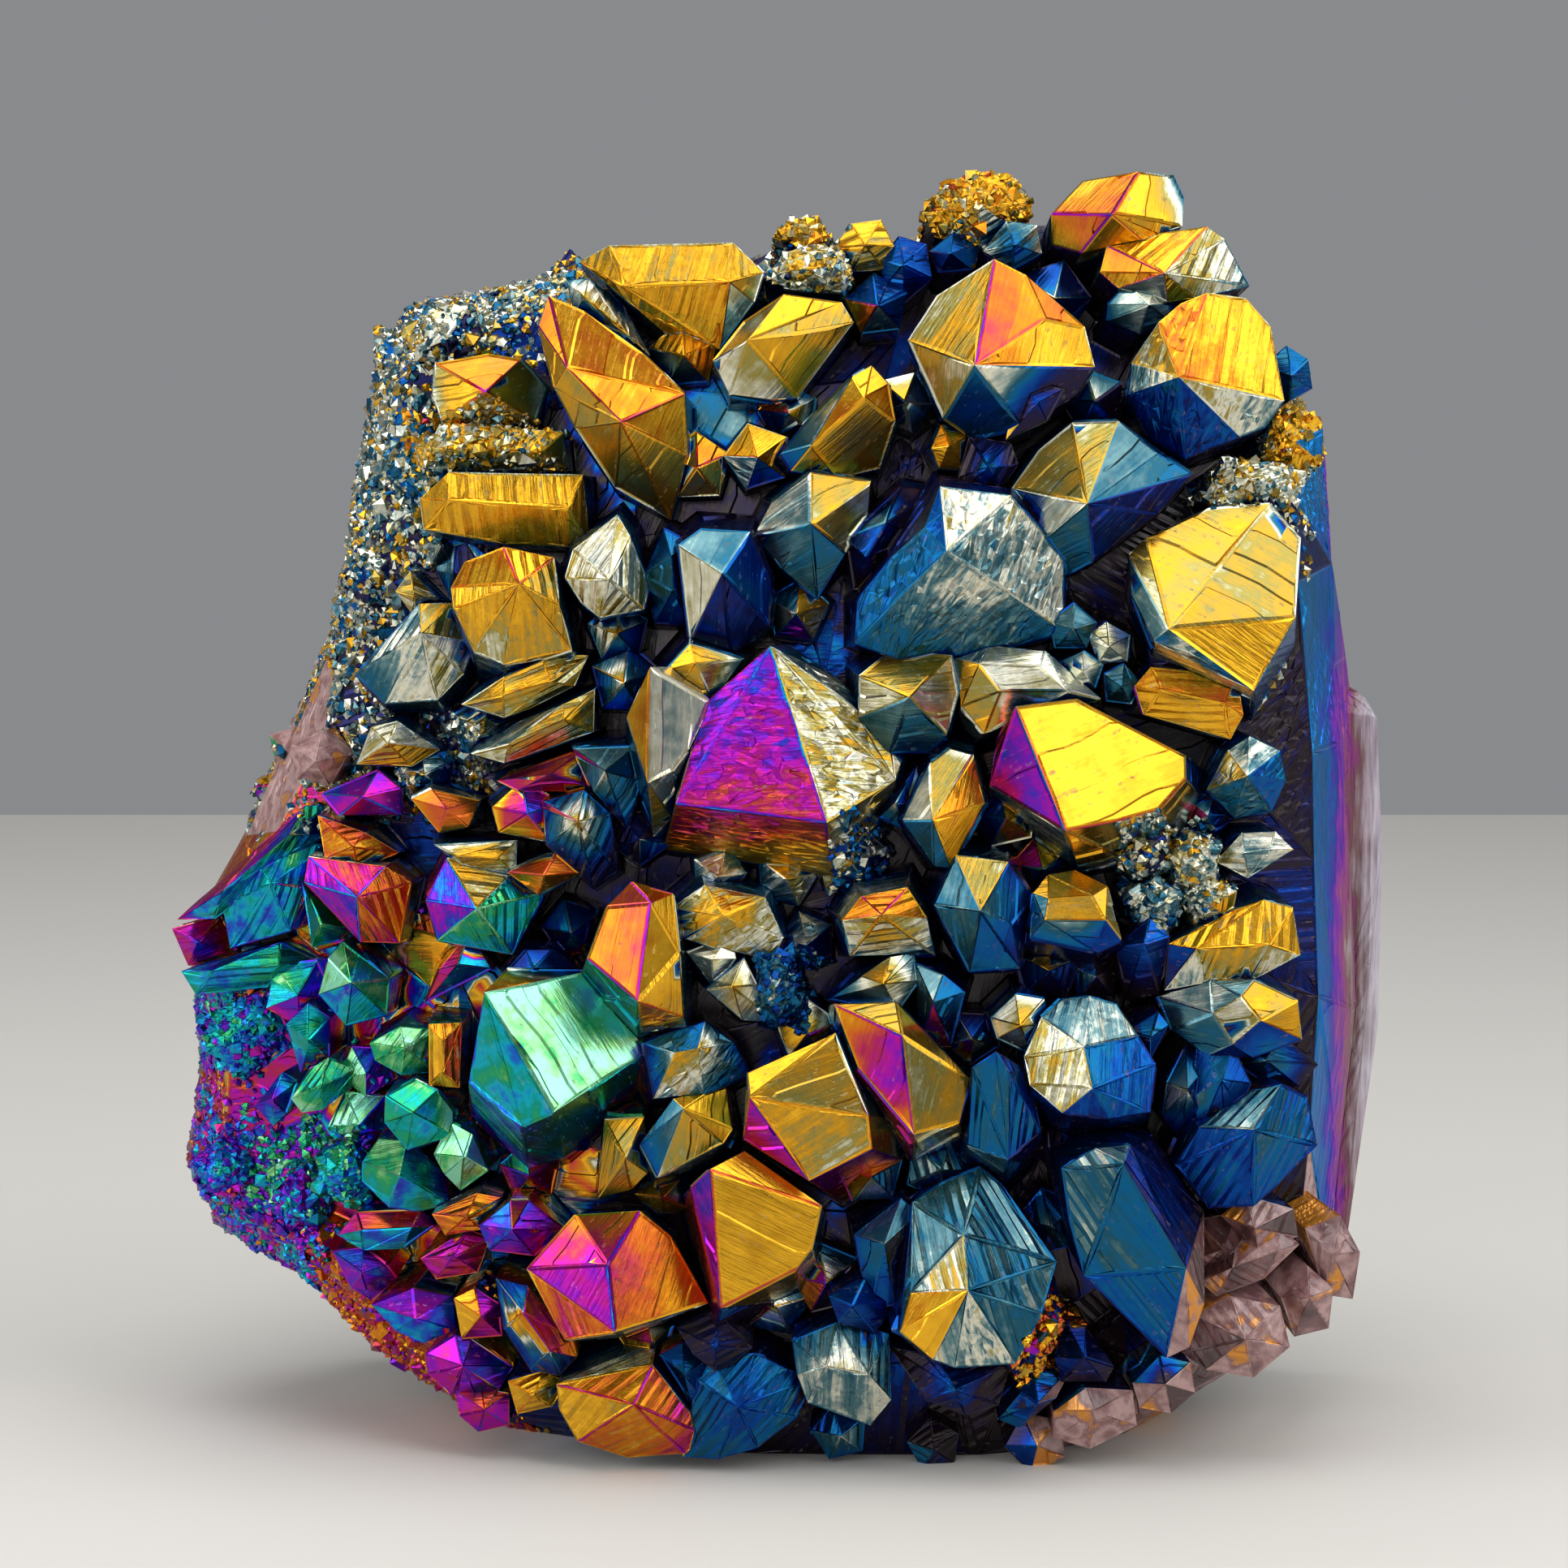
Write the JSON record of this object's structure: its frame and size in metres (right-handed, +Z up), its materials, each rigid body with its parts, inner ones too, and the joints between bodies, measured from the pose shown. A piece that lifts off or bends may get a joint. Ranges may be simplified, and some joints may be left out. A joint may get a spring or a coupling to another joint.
{
  "type": "aura amethyst druzy cluster",
  "caption": "Block of intergrown quartz points with a thin iridescent metal coating, a druse edge, a bare matrix slab at one side and a flat cut base.",
  "frame": {"origin": "centre of the bounding box in plan, on the flat cut that it stands on", "axes": "+Z up, -Y out of the crystal face toward the viewer, +X to the viewer's right"},
  "size_m": [0.0954, 0.052, 0.0979],
  "materials": {
    "coated_quartz": "crystal faces with a thin mirror-bright titanium film in blue, gold, magenta and green"
  },
  "bodies": {
    "root": {"druzy_cluster": "coated_quartz"}
  },
  "joints": []
}
